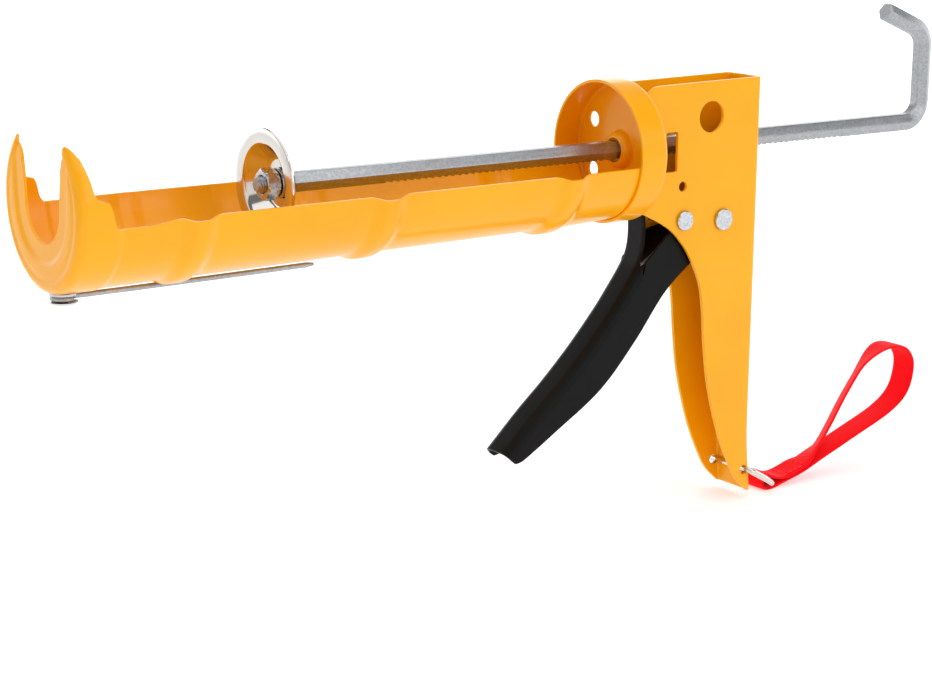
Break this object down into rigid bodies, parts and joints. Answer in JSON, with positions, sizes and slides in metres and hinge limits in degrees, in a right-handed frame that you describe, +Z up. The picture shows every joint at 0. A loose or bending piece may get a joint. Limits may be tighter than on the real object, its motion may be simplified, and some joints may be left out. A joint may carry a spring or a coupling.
{
  "type": "caulking gun",
  "caption": "Half-barrel caulking gun with ratchet hook rod, piston disc, squeeze trigger, seal pin and wrist strap.",
  "frame": {"origin": "bottom centre of the box round the whole gun at rest", "axes": "+X from the nose to the hook along the push rod, +Y to the gun's right as seen by its user, +Z up from the handle to the barrel"},
  "size_m": [0.4064, 0.0566, 0.1995],
  "materials": {
    "barrel_paint": "gloss yellow-orange powder coat",
    "trigger_paint": "satin black powder coat",
    "zinc_steel": "bright zinc plated steel",
    "nickel_steel": "polished nickel plated steel",
    "spring_steel": "oiled spring steel",
    "strap_webbing": "red woven polyester webbing"
  },
  "bodies": {
    "frame": {"half_barrel": "barrel_paint", "rear_cup": "barrel_paint", "handle_frame": "barrel_paint", "pivot_rivet": "zinc_steel", "stop_rivet": "zinc_steel", "pivot_sleeve": "zinc_steel", "nose_rivet": "nickel_steel", "nose_washer": "zinc_steel"},
    "piston": {"piston_disc": "nickel_steel"},
    "rod": {"push_rod": "zinc_steel", "rod_nut": "zinc_steel", "lock_washer": "zinc_steel"},
    "trigger": {"trigger": "trigger_paint", "pawl_pin": "zinc_steel", "return_spring": "spring_steel"},
    "pawl": {"drive_pawl": "spring_steel", "pawl_spring": "spring_steel"},
    "seal_pin": {"seal_pin": "zinc_steel"},
    "ring": {"strap_ring": "nickel_steel"},
    "strap": {"wrist_strap": "strap_webbing"}
  },
  "joints": [
    {"name": "rod_slide", "type": "slide", "parent": "frame", "child": "piston", "axis": [-1, 0, 0], "range_m": [-0.138, 0.071]},
    {"name": "rod_turn", "type": "hinge", "parent": "piston", "child": "rod", "pos_m": [-0.11043, 0, 0.1488], "axis": [1, 0, 0], "range_deg": [0, 180]},
    {"name": "trigger_squeeze", "type": "hinge", "parent": "frame", "child": "trigger", "pos_m": [0.08157, 0, 0.1188], "axis": [0, -1, 0], "range_deg": [0, 28], "stiffness_Nm_per_rad": 0.3, "springref_deg": -28.65},
    {"name": "pawl_follow", "type": "hinge", "parent": "trigger", "child": "pawl", "pos_m": [0.08457, 0, 0.1318], "axis": [0, -1, 0], "range_deg": [-28, 0]},
    {"name": "seal_pin_swing", "type": "hinge", "parent": "frame", "child": "seal_pin", "pos_m": [-0.19743, 0, 0.1188], "axis": [0, 0, 1], "range_deg": [-180, 180]},
    {"name": "ring_swing", "type": "hinge", "parent": "frame", "child": "ring", "pos_m": [0.09957, 0, 0.0128], "axis": [0, 1, 0], "range_deg": [-20, 55]},
    {"name": "strap_swing", "type": "hinge", "parent": "ring", "child": "strap", "pos_m": [0.11603, 0, 0.0033], "axis": [0, 1, 0], "range_deg": [-15, 60]}
  ],
  "couplings": [
    {"joint": "pawl_follow", "follows": "trigger_squeeze", "ratio": -1}
  ]
}
